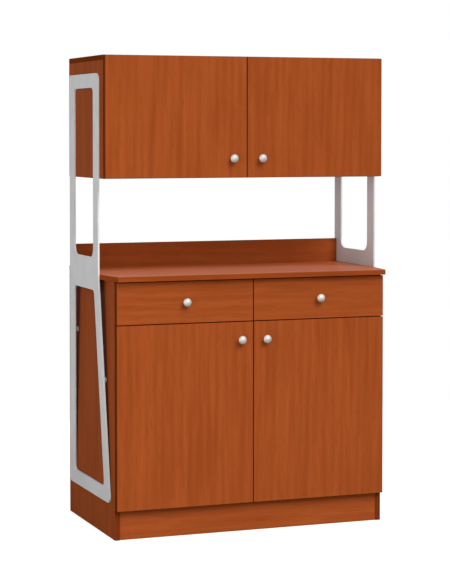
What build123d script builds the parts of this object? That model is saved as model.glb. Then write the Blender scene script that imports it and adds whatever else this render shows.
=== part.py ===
"""Kitchen cabinet: a base unit with two drawers and two doors, and a two-door top unit on metal side frames.

Sizes are in millimetres. The origin is on the floor, in the middle of the whole object, with the fronts
towards -Y and +Z up.
"""

import os
from dataclasses import dataclass

from build123d import *

os.makedirs("parts", exist_ok=True)

# Boards shared by both units
board = 18.0
front_board = 20.0
back_board = 6.0
edge_radius = 1.2

# Fronts: doors and drawer fronts
front_gap = 3.0
front_reveal = 1.5
front_joint = 3.0

# Base unit
base_width = 1008.0
base_depth = 558.0
plinth_height = 100.0
plinth_recess = 4.0
door_bottom_lift = 4.0
drawer_zone = 151.0
drawer_top_gap = 4.0
rail_width = 80.0

# Worktop and backsplash
worktop_top = 914.0
worktop_thickness = 18.0
worktop_overhang = 20.0
worktop_corner_radius = 6.0
backsplash_height = 87.0
backsplash_groove = 3.0

# Top unit, above the open counter and between the side frames
counter_clear = 333.0
upper_height = 429.0
upper_setback = 61.0
upper_rear_reach = 25.0

# Side frames, cut from plate and folded below the worktop, so that their feet lean in to the base unit
frame_plate = 6.0
frame_standoff = 21.0
frame_foot_gap = 0.5
frame_setback = 106.0
frame_rear_gap = 100.0
frame_leg = 58.0
frame_slant_leg = 56.0
frame_bar = 50.0
frame_foot_bar = 52.0
frame_bottom = 121.0
frame_top_drop = 62.0
frame_knee_drop = 19.0
frame_toe_reach = 66.0
frame_heel_reach = 72.0
gusset_drop = 59.0
gusset_rise = 55.0
frame_toe_radius = 25.0
frame_corner_radius = 12.0
window_radius = 20.0
window_foot_radius = 35.0
frame_edge_radius = 0.8

# Loose shelves and their pins
base_shelf_rise = 297.0
base_shelf_setback = 45.0
upper_shelf_rise = 203.0
upper_shelf_setback = 30.0
shelf_clearance = 1.0
pin_radius = 2.5
pin_depth = 8.0
pin_pad_length = 10.0
pin_pad_width = 8.0
pin_setback = 60.0
pin_clearance = 0.05

# Bolts and spacers that hold the frames
bolt_radius = 3.0
bolt_head_radius = 5.5
bolt_head_height = 3.3
bolt_bite = 5.0
bolt_clearance = 0.1
spacer_radius = 10.0
upper_bolt_rise = 53.0
upper_bolt_drop = 24.0
base_bolt_drop = 55.0
slant_bolt_drop = 200.0
toe_bolt_inset = 70.0

# Screws
screw_radius = 2.0
screw_head_radius = 4.0
screw_head_height = 2.2
screw_clearance = 0.05
worktop_screw_bite = 11.0
backsplash_screw_bite = 25.0
knob_screw_bite = 12.0

# Knobs
knob_length = 26.0
knob_radius = 14.5
knob_foot_radius = 7.0
knob_neck_radius = 6.0
knob_foot_height = 2.0
knob_neck_height = 9.0
knob_rim_low = 15.0
knob_rim_high = 18.0
upper_knob_inset = 54.0
upper_knob_rise = 69.0
base_knob_inset = 47.0
base_knob_drop = 62.5

# Concealed hinges
cup_radius = 17.5
cup_depth = 12.0
cup_edge = 5.0
cup_clearance = 0.1
cup_flange_width = 20.0
cup_flange_height = 60.0
cup_flange = 1.0
hinge_inset = 92.0
hinge_plate = 3.0
hinge_plate_length = 34.0
hinge_plate_height = 44.0
hinge_plate_setback = 18.0
hinge_arm_width = 10.0
hinge_arm_height = 13.0
hinge_arm_gap = 0.5

# Drawer boxes and runners
box_board = 12.0
box_lift = 10.0
box_top_gap = 14.0
box_rear_space = 87.0
box_bottom = 4.0
box_bottom_lift = 8.0
box_groove = 5.0
groove_clearance = 0.1
runner_space = 12.7
runner_height = 45.0
runner_setback = 2.0
runner_rear_gap = 5.0
runner_wall = 1.2
runner_clearance = 0.5
runner_side_gap = 1.0

# Bumpers
bumper_radius = 3.0
bumper_gap = 0.3
bumper_inset = 40.0

# Wall fixing
fixing_hole_radius = 3.25
fixing_hole_spacing = 700.0

quarter_turn = 90
turns = {"X": (0, quarter_turn, 0), "Y": (quarter_turn, 0, 0), "Z": (0, 0, 0)}
sides = {"left": -1, "right": 1}

# Places worked out from the sizes above
front_edge = (front_gap + front_board + knob_length - base_depth) / 2
base_rear = front_edge + base_depth
base_back_face = base_rear - back_board
base_half = base_width / 2
base_inner = base_half - board
base_front_back = front_edge - front_gap
worktop_bottom = worktop_top - worktop_thickness
worktop_front = base_front_back - front_board - worktop_overhang
base_door_bottom = plinth_height + door_bottom_lift
base_shelf_height = plinth_height + board + base_shelf_rise
drawer_joint_height = worktop_bottom - drawer_zone
deck_bottom = drawer_joint_height - board / 2
deck_top = drawer_joint_height + board / 2
rail_bottom = worktop_bottom - board

upper_bottom = worktop_top + counter_clear
upper_top = upper_bottom + upper_height
upper_shelf_height = upper_bottom + upper_shelf_rise

frame_top = upper_top - frame_top_drop
frame_knee = worktop_top - frame_knee_drop
frame_front = front_edge + frame_setback
frame_rear = base_rear - frame_rear_gap
frame_fall = frame_knee - frame_bottom
gusset_bottom = worktop_top - gusset_drop
gusset_top = worktop_top + gusset_rise
rear_leg_middle = frame_rear - frame_leg / 2
front_leg_middle = frame_front + frame_leg / 2
bottom_bar_middle = frame_bottom + frame_foot_bar / 2

upper_half = base_half + frame_standoff
foot_half = base_half + frame_foot_gap
upper_inner = upper_half - board
upper_front = front_edge + upper_setback
upper_rear = frame_rear + upper_rear_reach
upper_back_face = upper_rear - back_board

upper_bolt_low = upper_bottom + upper_bolt_rise
upper_bolt_high = frame_top - upper_bolt_drop
base_bolt_high = drawer_joint_height - base_bolt_drop
slant_bolt_high = drawer_joint_height - slant_bolt_drop


def keep(piece, label):
    """Label a finished piece and write its STEP file."""
    piece.part.label = label
    export_step(piece.part, f"parts/{label}.step")


def block(x, y, z):
    """A plain block between the limits x, y and z."""
    with BuildPart() as solid:
        with BuildSketch(Plane.XY.offset(min(z))):
            with Locations((sum(x) / 2, sum(y) / 2)):
                Rectangle(abs(x[1] - x[0]), abs(y[1] - y[0]))
        extrude(amount=abs(z[1] - z[0]))
    return solid.part


def eased_block(x, y, z, radius=edge_radius):
    """A block whose edges are all rounded by radius."""
    with BuildPart() as solid:
        add(block(x, y, z))
        fillet(solid.edges(), radius)
    return solid.part


def rods(along, start, end, places, radius, mode=Mode.ADD):
    """Add or cut round rods along one axis of the part being built.

    Each place gives the two other coordinates, in the order X, Y, Z.
    """
    middle = (start + end) / 2
    at = "XYZ".index(along)
    centres = [(*place[:at], middle, *place[at:]) for place in places]
    with Locations(*centres):
        Cylinder(radius, abs(end - start), rotation=turns[along], mode=mode)


def rounded_outline(points, radii):
    """A closed outline through points, with the corner at each point rounded by its radius."""
    with BuildSketch() as outline:
        with BuildLine():
            Polyline(*points, close=True)
        make_face()
        for point, radius in zip(points, radii):
            fillet(outline.vertices().sort_by_distance(point)[0], radius)
    return outline.sketch


def toe(height):
    """Y of a frame's front edge at a height below the fold."""
    return frame_front - frame_toe_reach * (frame_knee - height) / frame_fall


def heel(height):
    """Y of a frame's rear edge at a height below the fold."""
    return frame_rear + frame_heel_reach * (frame_knee - height) / frame_fall


def frame_inner(height):
    """X of the right frame's inner face at a height below the fold."""
    return upper_half - (upper_half - foot_half) * (frame_knee - height) / frame_fall


def folded_plate(side):
    """The plate of one frame before its outline is cut, long enough in Y for any outline."""
    section = [
        (upper_half, frame_top),
        (upper_half + frame_plate, frame_top),
        (upper_half + frame_plate, frame_knee),
        (foot_half + frame_plate, frame_bottom),
        (foot_half, frame_bottom),
        (upper_half, frame_knee),
    ]
    with BuildPart() as plate:
        with BuildSketch(Plane.XZ):
            with BuildLine():
                Polyline(*[(side * x, z) for x, z in section], close=True)
            make_face()
        extrude(amount=base_depth, both=True)
    return plate.part


# Places of the fasteners, as (Y, Z)
upper_bolts = [(y, z) for y in (rear_leg_middle, front_leg_middle) for z in (upper_bolt_low, upper_bolt_high)]
base_bolts = [
    (heel(base_bolt_high) - frame_leg / 2, base_bolt_high),
    (heel(bottom_bar_middle) - toe_bolt_inset, bottom_bar_middle),
    (toe(bottom_bar_middle) + toe_bolt_inset, bottom_bar_middle),
    (toe(slant_bolt_high) + frame_slant_leg / 2, slant_bolt_high),
]
base_pins = [
    (y, base_shelf_height - pin_radius)
    for y in (front_edge + base_shelf_setback + pin_setback, base_back_face - pin_setback)
]
upper_pins = [
    (y, upper_shelf_height - pin_radius)
    for y in (upper_front + upper_shelf_setback + pin_setback, upper_back_face - pin_setback)
]
fixing_places = [(x, rail_bottom) for x in (-fixing_hole_spacing / 2, fixing_hole_spacing / 2)]

# Side boards of both units
for name, side in sides.items():
    with BuildPart() as base_side:
        outer = side * base_half
        inner = side * base_inner
        add(eased_block((inner, outer), (front_edge, base_rear), (0, worktop_bottom)))
        rods("X", inner, outer, base_bolts, bolt_radius + bolt_clearance, Mode.SUBTRACT)
        rods("X", inner, inner + side * pin_depth, base_pins, pin_radius + pin_clearance, Mode.SUBTRACT)
    keep(base_side, f"base_{name}_side")

    with BuildPart() as upper_side:
        outer = side * upper_half
        inner = side * upper_inner
        add(eased_block((inner, outer), (upper_front, upper_rear), (upper_bottom, upper_top - board)))
        rods("X", inner, outer, upper_bolts, bolt_radius + bolt_clearance, Mode.SUBTRACT)
        rods("X", inner, inner + side * pin_depth, upper_pins, pin_radius + pin_clearance, Mode.SUBTRACT)
    keep(upper_side, f"upper_{name}_side")

# Plain boards: limits in X, Y and Z
base_inside = (-base_inner, base_inner)
upper_inside = (-upper_inner, upper_inner)
base_shelf_x = (-base_inner + shelf_clearance, base_inner - shelf_clearance)
upper_shelf_x = (-upper_inner + shelf_clearance, upper_inner - shelf_clearance)
plain_boards = {
    "base_bottom": (base_inside, (front_edge, base_back_face), (plinth_height, plinth_height + board)),
    "drawer_deck": (base_inside, (front_edge, base_back_face), (deck_bottom, deck_top)),
    "drawer_divider": (
        (-board / 2, board / 2),
        (front_edge, base_back_face - board),
        (deck_top, rail_bottom),
    ),
    "plinth_front": (
        base_inside,
        (front_edge + plinth_recess, front_edge + plinth_recess + board),
        (0, plinth_height),
    ),
    "plinth_back": (base_inside, (base_rear - board, base_rear), (0, plinth_height)),
    "base_shelf": (
        base_shelf_x,
        (front_edge + base_shelf_setback, base_back_face - shelf_clearance),
        (base_shelf_height, base_shelf_height + board),
    ),
    "upper_top": ((-upper_half, upper_half), (upper_front, upper_rear), (upper_top - board, upper_top)),
    "upper_bottom": (upper_inside, (upper_front, upper_back_face), (upper_bottom, upper_bottom + board)),
    "upper_shelf": (
        upper_shelf_x,
        (upper_front + upper_shelf_setback, upper_back_face - shelf_clearance),
        (upper_shelf_height, upper_shelf_height + board),
    ),
}
for name, limits in plain_boards.items():
    with BuildPart() as plain_board:
        add(eased_block(*limits))
    keep(plain_board, name)

# Back panels and the rear fixing rail, drilled for two wall screws
with BuildPart() as upper_back:
    add(block(upper_inside, (upper_back_face, upper_rear), (upper_bottom, upper_top - board)))
keep(upper_back, "upper_back")

with BuildPart() as base_back:
    add(block(base_inside, (base_back_face, base_rear), (plinth_height, worktop_bottom)))
    rods("Y", base_back_face, base_rear, fixing_places, fixing_hole_radius, Mode.SUBTRACT)
keep(base_back, "base_back")

with BuildPart() as fixing_rail:
    fixing_rail_front = base_back_face - board
    fixing_rail_z = (worktop_bottom - rail_width, worktop_bottom)
    add(block(base_inside, (fixing_rail_front, base_back_face), fixing_rail_z))
    rods("Y", fixing_rail_front, base_back_face, fixing_places, fixing_hole_radius, Mode.SUBTRACT)
keep(fixing_rail, "fixing_rail")

# Front top rail, with screws up into the worktop
rail_rear = front_edge + rail_width
rail_screw_shares = (-0.75, -0.25, 0.25, 0.75)
rail_screws = [(share * base_inner, front_edge + rail_width / 2) for share in rail_screw_shares]
with BuildPart() as front_top_rail:
    add(eased_block(base_inside, (front_edge, rail_rear), (rail_bottom, worktop_bottom)))
    rods("Z", rail_bottom, worktop_bottom, rail_screws, screw_radius + screw_clearance, Mode.SUBTRACT)
keep(front_top_rail, "front_top_rail")

with BuildPart() as worktop_screws:
    rods("Z", rail_bottom, worktop_bottom + worktop_screw_bite, rail_screws, screw_radius)
    rods("Z", rail_bottom - screw_head_height, rail_bottom, rail_screws, screw_head_radius)
keep(worktop_screws, "worktop_screws")

# Worktop: its ends reach the frames, and taper in to the base unit's width at the front
splash_front = frame_rear - board
splash_foot = worktop_top - backsplash_groove
splash_screw_shares = (-0.7, 0.0, 0.7)
splash_screws = [(share * base_inner, frame_rear - board / 2) for share in splash_screw_shares]
worktop_half_plan = [
    (base_half, worktop_front),
    (upper_half, frame_front),
    (upper_half, frame_rear),
    (base_half, frame_rear),
    (base_half, base_rear),
]
worktop_plan = worktop_half_plan + [(-x, y) for x, y in reversed(worktop_half_plan)]
with BuildPart() as worktop:
    with BuildSketch(Plane.XY.offset(worktop_bottom)):
        with BuildLine():
            Polyline(*worktop_plan, close=True)
        make_face()
    extrude(amount=worktop_thickness)
    fillet(worktop.edges().filter_by(Axis.Z).group_by(Axis.Y)[0], worktop_corner_radius)
    front_part = worktop.edges().filter_by_position(Axis.Y, worktop_front, frame_front, (True, False))
    fillet(front_part - front_part.filter_by(Axis.Z), edge_radius)
    rods("Z", worktop_bottom, worktop_bottom + worktop_screw_bite, rail_screws,
         screw_radius + screw_clearance, Mode.SUBTRACT)
    rods("Z", worktop_bottom, worktop_top, splash_screws, screw_radius + screw_clearance, Mode.SUBTRACT)
    splash_groove = block((-upper_half, upper_half), (splash_front, frame_rear), (splash_foot, worktop_top))
    add(splash_groove, mode=Mode.SUBTRACT)
keep(worktop, "worktop")

# Backsplash between the frames, housed in the worktop and screwed from below
splash_screw_top = worktop_top + backsplash_screw_bite
with BuildPart() as backsplash:
    add(eased_block(
        (-upper_half, upper_half),
        (splash_front, frame_rear),
        (splash_foot, worktop_top + backsplash_height),
    ))
    rods("Z", splash_foot, splash_screw_top, splash_screws, screw_radius + screw_clearance, Mode.SUBTRACT)
keep(backsplash, "backsplash")

with BuildPart() as backsplash_screws:
    rods("Z", worktop_bottom, splash_screw_top, splash_screws, screw_radius)
    rods("Z", worktop_bottom - screw_head_height, worktop_bottom, splash_screws, screw_head_radius)
keep(backsplash_screws, "backsplash_screws")

# Side frames: outline and windows in Y and Z
frame_outline = [
    (toe(frame_bottom), frame_bottom),
    (heel(frame_bottom), frame_bottom),
    (frame_rear, frame_knee),
    (frame_rear, frame_top),
    (frame_front, frame_top),
    (frame_front, frame_knee),
]
frame_radii = [frame_toe_radius, frame_corner_radius, frame_toe_radius, frame_corner_radius, frame_toe_radius,
               frame_toe_radius]
window_top = frame_top - frame_bar
tall_window = [
    (frame_front + frame_leg, gusset_top),
    (frame_rear - frame_leg, gusset_top),
    (frame_rear - frame_leg, window_top),
    (frame_front + frame_leg, window_top),
]
tall_radii = [window_foot_radius, window_foot_radius, window_radius, window_radius]
sill = frame_bottom + frame_foot_bar
slant_window = [
    (toe(sill) + frame_slant_leg, sill),
    (heel(sill) - frame_leg, sill),
    (heel(gusset_bottom) - frame_leg, gusset_bottom),
    (toe(gusset_bottom) + frame_slant_leg, gusset_bottom),
]
slant_radii = [window_radius] * len(slant_window)
outward_share = 0.9
for name, side in sides.items():
    with BuildPart() as side_frame:
        with BuildSketch(Plane.YZ):
            add(rounded_outline(frame_outline, frame_radii))
            add(rounded_outline(tall_window, tall_radii), mode=Mode.SUBTRACT)
            add(rounded_outline(slant_window, slant_radii), mode=Mode.SUBTRACT)
        extrude(amount=side * (upper_half + frame_plate))
        add(folded_plate(side), mode=Mode.INTERSECT)
        outer_faces = side_frame.faces().filter_by(lambda face: side * face.normal_at().X > outward_share)
        fold = side_frame.edges().filter_by_position(Axis.Z, frame_knee, frame_knee)
        fillet(outer_faces.edges() - fold, frame_edge_radius)
        for y, z in base_bolts:
            rods("X", side * base_half, side * (frame_inner(z) + bolt_bite), [(y, z)],
                 bolt_radius + bolt_clearance, Mode.SUBTRACT)
        rods("X", side * base_half, side * (upper_half + bolt_bite), upper_bolts,
             bolt_radius + bolt_clearance, Mode.SUBTRACT)
    keep(side_frame, f"{name}_side_frame")

# Bolts from inside the units into the frames, and spacers beside the base unit
with BuildPart() as frame_bolts:
    for side in sides.values():
        rods("X", side * upper_inner, side * (upper_half + bolt_bite), upper_bolts, bolt_radius)
        for y, z in base_bolts:
            rods("X", side * base_inner, side * (frame_inner(z) + bolt_bite), [(y, z)], bolt_radius)
        for inner, places in ((side * base_inner, base_bolts), (side * upper_inner, upper_bolts)):
            rods("X", inner - side * bolt_head_height, inner, places, bolt_head_radius)
keep(frame_bolts, "frame_bolts")

with BuildPart() as frame_spacers:
    for side in sides.values():
        near = side * base_half
        for y, z in base_bolts:
            rods("X", near, side * (frame_inner(z) + frame_plate / 2), [(y, z)], spacer_radius)
        add(folded_plate(side), mode=Mode.SUBTRACT)
        rods("X", near, side * upper_half, base_bolts, bolt_radius + bolt_clearance, Mode.SUBTRACT)
keep(frame_spacers, "frame_spacers")

# Shelf pins: a round stem in the side board and a flat pad under the shelf
with BuildPart() as shelf_pins:
    for side in sides.values():
        for inner, places in ((side * base_inner, base_pins), (side * upper_inner, upper_pins)):
            rods("X", inner, inner + side * pin_depth, places, pin_radius)
            with Locations(*[(inner - side * pin_pad_length / 2, y, z) for y, z in places]):
                Box(pin_pad_length, pin_pad_width, pin_radius + pin_radius)
keep(shelf_pins, "shelf_pins")


@dataclass
class Door:
    """One hinged door: side is -1 for a door hinged at the left and 1 for one hinged at the right."""

    name: str
    side: int
    outer: float
    inner: float
    front: float
    bottom: float
    top: float
    knob_inset: float
    knob_height: float

    @property
    def back(self):
        """Y of the door's back face."""
        return self.front - front_gap

    @property
    def face(self):
        """Y of the door's front face."""
        return self.back - front_board

    @property
    def edge(self):
        """X of the door's hinged edge."""
        return self.side * (self.outer - front_reveal)

    @property
    def hinges(self):
        """Heights of the two hinges."""
        return (self.bottom + hinge_inset, self.top - hinge_inset)

    @property
    def cups(self):
        """Places of the hinge cups, as (X, Z)."""
        return [(self.edge - self.side * (cup_edge + cup_radius), z) for z in self.hinges]

    @property
    def knob(self):
        """Place of the knob, as (X, Z)."""
        return (self.side * self.knob_inset, self.knob_height)


base_door_top = drawer_joint_height - front_joint / 2
upper_door_bottom = upper_bottom + front_reveal
doors = []
for name, side in sides.items():
    doors.append(Door(
        f"base_{name}_door", side, base_half, base_inner, front_edge, base_door_bottom, base_door_top,
        base_knob_inset, base_door_top - base_knob_drop,
    ))
    doors.append(Door(
        f"upper_{name}_door", side, upper_half, upper_inner, upper_front, upper_door_bottom,
        upper_top - front_reveal, upper_knob_inset, upper_bottom + upper_knob_rise,
    ))


def make_knob(label, x, face, z):
    """A turned mushroom knob on the face at Y, with a blind hole for its screw."""
    hole = screw_radius + screw_clearance
    with BuildPart() as knob:
        with BuildSketch(Plane((x, face, z), x_dir=(1, 0, 0), z_dir=(0, 0, -1))):
            with BuildLine():
                Polyline(
                    (0, knob_length),
                    (0, knob_screw_bite),
                    (hole, knob_screw_bite),
                    (hole, 0),
                    (knob_foot_radius, 0),
                    (knob_foot_radius, knob_foot_height),
                )
                ThreePointArc(
                    (knob_foot_radius, knob_foot_height),
                    (knob_neck_radius, knob_neck_height),
                    (knob_radius, knob_rim_low),
                )
                Line((knob_radius, knob_rim_low), (knob_radius, knob_rim_high))
                TangentArc((0, knob_length), (knob_radius, knob_rim_high), tangent=(1, 0))
            make_face()
        revolve(axis=Axis((x, face, z), (0, 1, 0)))
    keep(knob, label)


def make_knob_screw(label, x, seat, face, z):
    """A screw from its seat at Y, through the front and into the knob."""
    with BuildPart() as knob_screw:
        rods("Y", face - knob_screw_bite, seat, [(x, z)], screw_radius)
        rods("Y", seat, seat + screw_head_height, [(x, z)], screw_head_radius)
    keep(knob_screw, label)


# Doors, with their hinge cups, knobs and knob screws
for door in doors:
    with BuildPart() as panel:
        door_x = (door.side * front_joint / 2, door.edge)
        add(eased_block(door_x, (door.face, door.back), (door.bottom, door.top)))
        rods("Y", door.back - cup_depth, door.back, door.cups, cup_radius + cup_clearance, Mode.SUBTRACT)
        rods("Y", door.face, door.back, [door.knob], screw_radius + screw_clearance, Mode.SUBTRACT)
    keep(panel, door.name)

    with BuildPart() as hinge_cups:
        rods("Y", door.back - cup_depth, door.back, door.cups, cup_radius)
        with Locations(*[(x, door.back + cup_flange / 2, z) for x, z in door.cups]):
            Box(cup_flange_width, cup_flange, cup_flange_height)
    keep(hinge_cups, f"{door.name}_hinge_cups")

    make_knob(f"{door.name}_knob", door.knob[0], door.face, door.knob[1])
    make_knob_screw(f"{door.name}_knob_screw", door.knob[0], door.back, door.face, door.knob[1])

# Hinge arms and plates on the side boards
with BuildPart() as hinge_arms:
    for door in doors:
        seat = door.side * door.inner
        crown = seat - door.side * hinge_plate
        plate_front = door.front + hinge_plate_setback
        plate_rear = plate_front + hinge_plate_length
        arm_front = door.back + cup_flange + hinge_arm_gap
        arm_x = (crown, crown - door.side * hinge_arm_width)
        for z in door.hinges:
            half = hinge_plate_height / 2
            add(block((seat, crown), (plate_front, plate_rear), (z - half, z + half)))
            half = hinge_arm_height / 2
            add(block(arm_x, (arm_front, plate_rear), (z - half, z + half)))
keep(hinge_arms, "hinge_arms")

# Drawers: front, box and runners
drawer_bottom = drawer_joint_height + front_joint / 2
drawer_top = worktop_bottom - drawer_top_gap
drawer_face = base_front_back - front_board
drawer_middle = (drawer_bottom + drawer_top) / 2
box_low = deck_top + box_lift
box_high = rail_bottom - box_top_gap
box_rear = base_back_face - board - box_rear_space
box_end_front = base_front_back + box_board
bay = (board / 2, base_inner)
box_outer = (bay[0] + runner_space, bay[1] - runner_space)
box_inner = (box_outer[0] + box_board, box_outer[1] - box_board)
bottom_x = (box_inner[0] - box_groove, box_inner[1] + box_groove)
bottom_y = (box_end_front - box_groove, box_rear - box_board + box_groove)
bottom_z = (box_low + box_bottom_lift, box_low + box_bottom_lift + box_bottom)
runner_middle = (box_low + box_high) / 2
runner_y = (front_edge + runner_setback, box_rear - runner_rear_gap)
runner_inside = runner_height / 2 - runner_wall
slide_half = runner_inside - runner_clearance


def grown(limits, by):
    """Limits moved outwards by a clearance."""
    return (limits[0] - by, limits[1] + by)


def mirrored(limits, side):
    """Limits in X on the left or right of the middle."""
    return (side * limits[0], side * limits[1])


def add_channel(web, lip, y, half):
    """Add a channel rail to the part being built, open in X, from its web's back face to its lips."""
    wall = runner_wall if lip > web else -runner_wall
    low = runner_middle - half
    high = runner_middle + half
    add(block((web, web + wall), y, (low, high)))
    add(block((web, lip), y, (low, low + runner_wall)))
    add(block((web, lip), y, (high - runner_wall, high)))


for name, side in sides.items():
    label = f"{name}_drawer"
    knob_x = side * (front_joint / 2 + base_half - front_reveal) / 2
    groove = block(
        mirrored(grown(bottom_x, groove_clearance), side),
        grown(bottom_y, groove_clearance),
        grown(bottom_z, groove_clearance),
    )
    with BuildPart() as drawer_front:
        add(eased_block(
            mirrored((front_joint / 2, base_half - front_reveal), side),
            (drawer_face, base_front_back),
            (drawer_bottom, drawer_top),
        ))
        rods("Y", drawer_face, base_front_back, [(knob_x, drawer_middle)],
             screw_radius + screw_clearance, Mode.SUBTRACT)
    keep(drawer_front, f"{label}_front")

    with BuildPart() as box_sides:
        for limits in ((box_outer[0], box_inner[0]), (box_inner[1], box_outer[1])):
            add(block(mirrored(limits, side), (base_front_back, box_rear), (box_low, box_high)))
        add(groove, mode=Mode.SUBTRACT)
    keep(box_sides, f"{label}_box_sides")

    with BuildPart() as box_ends:
        for limits in ((base_front_back, box_end_front), (box_rear - box_board, box_rear)):
            add(block(mirrored(box_inner, side), limits, (box_low, box_high)))
        add(groove, mode=Mode.SUBTRACT)
        rods("Y", base_front_back, box_end_front, [(knob_x, drawer_middle)],
             screw_radius + screw_clearance, Mode.SUBTRACT)
    keep(box_ends, f"{label}_box_ends")

    with BuildPart() as drawer_bottom_board:
        add(block(mirrored(bottom_x, side), bottom_y, bottom_z))
    keep(drawer_bottom_board, f"{label}_bottom")

    with BuildPart() as drawer_runners:
        lip = runner_space - runner_wall - runner_side_gap
        add_channel(side * box_outer[0], side * (box_outer[0] - lip), runner_y, slide_half)
        add_channel(side * box_outer[1], side * (box_outer[1] + lip), runner_y, slide_half)
    keep(drawer_runners, f"{label}_runners")

    make_knob(f"{label}_knob", knob_x, drawer_face, drawer_middle)
    make_knob_screw(f"{label}_knob_screw", knob_x, box_end_front, drawer_face, drawer_middle)

# Cabinet rails that the drawer runners slide in
with BuildPart() as cabinet_rails:
    for side in sides.values():
        lip = runner_space - runner_wall - runner_side_gap
        add_channel(side * bay[0], side * (bay[0] + lip), runner_y, runner_height / 2)
        add_channel(side * bay[1], side * (bay[1] - lip), runner_y, runner_height / 2)
keep(cabinet_rails, "cabinet_rails")

# Bumpers on the carcass edges behind the free ends of the fronts
base_door_edges = ((base_door_bottom + plinth_height + board) / 2, (deck_bottom + base_door_top) / 2)
upper_door_edges = (upper_bottom + board / 2, upper_top - board / 2)
drawer_edge = (rail_bottom + drawer_top) / 2
bumper_height = front_gap - bumper_gap
with BuildPart() as bumpers:
    for side in sides.values():
        near = side * bumper_inset
        far = side * (base_half - bumper_inset)
        base_places = [(near, z) for z in base_door_edges] + [(near, drawer_edge), (far, drawer_edge)]
        rods("Y", front_edge - bumper_height, front_edge, base_places, bumper_radius)
        upper_places = [(near, z) for z in upper_door_edges]
        rods("Y", upper_front - bumper_height, upper_front, upper_places, bumper_radius)
keep(bumpers, "bumpers")
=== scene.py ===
"""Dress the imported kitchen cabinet: laminated boards, painted side frames, nickel knobs and inner fittings.

Places are in metres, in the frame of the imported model: the floor is at Z = 0 and the fronts face -Y. A size
whose name ends in _mm is in millimetres.
"""

import logging
import math
from collections.abc import Callable, Mapping, Sequence
from dataclasses import dataclass, field
from enum import Enum
from typing import Any

import bmesh
import bpy
from mathutils import Euler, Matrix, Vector


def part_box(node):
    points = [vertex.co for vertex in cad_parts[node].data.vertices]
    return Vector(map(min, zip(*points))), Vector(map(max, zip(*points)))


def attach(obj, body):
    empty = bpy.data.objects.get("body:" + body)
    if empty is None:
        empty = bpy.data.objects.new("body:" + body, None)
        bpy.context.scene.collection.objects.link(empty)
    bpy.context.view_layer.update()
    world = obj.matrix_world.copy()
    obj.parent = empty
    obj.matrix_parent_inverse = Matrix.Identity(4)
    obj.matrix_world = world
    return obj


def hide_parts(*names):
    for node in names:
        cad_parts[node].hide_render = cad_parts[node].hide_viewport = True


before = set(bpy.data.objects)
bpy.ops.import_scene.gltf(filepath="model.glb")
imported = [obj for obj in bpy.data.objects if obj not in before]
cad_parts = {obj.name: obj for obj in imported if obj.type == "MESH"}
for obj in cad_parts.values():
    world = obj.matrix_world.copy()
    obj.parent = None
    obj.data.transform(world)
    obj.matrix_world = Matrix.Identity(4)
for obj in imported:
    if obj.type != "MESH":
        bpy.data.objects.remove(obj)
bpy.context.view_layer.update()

LOG = logging.getLogger("cabinet")
PHOTO_HEIGHT_PX = 577
MM = 0.001
QUARTER = math.pi / 2
SMOOTH_LIMIT = math.radians(35)

# Points round a small fitting, and along a quarter round
ROUND_COUNT = 16
CORNER_COUNT = 5
# Phase, in radians, that Blender's wave texture runs through in one unit
WAVE_PHASE = 20

Point = tuple[float, float]
Triple = tuple[float, float, float]
Ring = Sequence[Vector]


def linear(colour: str) -> tuple[float, float, float, float]:
    """Turn an sRGB hex colour into linear light.

    Args:
        colour: Six hex digits after a hash sign.

    Returns:
        Linear red, green and blue, then an alpha of one.
    """
    shares = [int(colour[at:at + 2], 16) / 255 for at in (1, 3, 5)]
    red, green, blue = (s / 12.92 if s <= 0.04045 else ((s + 0.055) / 1.055) ** 2.4 for s in shares)
    return red, green, blue, 1.0


def per_mm(size_mm: float) -> float:
    """Scale of a noise or cell pattern whose features are size_mm wide."""
    return 1 / (size_mm * MM)


def add_node(
    tree: bpy.types.NodeTree,
    kind: str,
    inputs: Mapping[str | int, Any] | None = None,
    stops: Sequence[tuple[float, str]] = (),
    **settings: Any,
) -> bpy.types.Node:
    """Add a node with its settings, and link or fill its inputs.

    Args:
        tree: Node tree of a material, a world or a Geometry Nodes group.
        kind: Blender's type name of the node.
        inputs: Input names or numbers, each with an output socket to link or a value to set.
        stops: Places and hex colours along a colour ramp.
        settings: Properties of the node itself.

    Returns:
        The new node.
    """
    node = tree.nodes.new(kind)
    for name, value in settings.items():
        setattr(node, name, value)
    for name, value in (inputs or {}).items():
        if isinstance(value, bpy.types.NodeSocket):
            tree.links.new(value, node.inputs[name])
        else:
            node.inputs[name].default_value = value
    for at, (place, colour) in enumerate(stops):
        elements = node.color_ramp.elements
        stop = elements[at] if at < 2 else elements.new(place)
        stop.position = place
        stop.color = linear(colour)
    return node


class Grain(Enum):
    """Axis of the shared frame that a board's grain runs along."""

    ACROSS = "X"
    DEEP = "Y"
    UPRIGHT = "Z"

    @property
    def turn(self) -> Triple:
        """Turn that lays this axis along the Z of a pattern."""
        return {"X": (0.0, QUARTER, 0.0), "Y": (QUARTER, 0.0, 0.0), "Z": (0.0, 0.0, 0.0)}[self.value]


class Side(Enum):
    """Left or right half of the cabinet, with its sign along X."""

    LEFT = -1
    RIGHT = 1

    @property
    def word(self) -> str:
        """The side's name in node names."""
        return self.name.lower()


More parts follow.
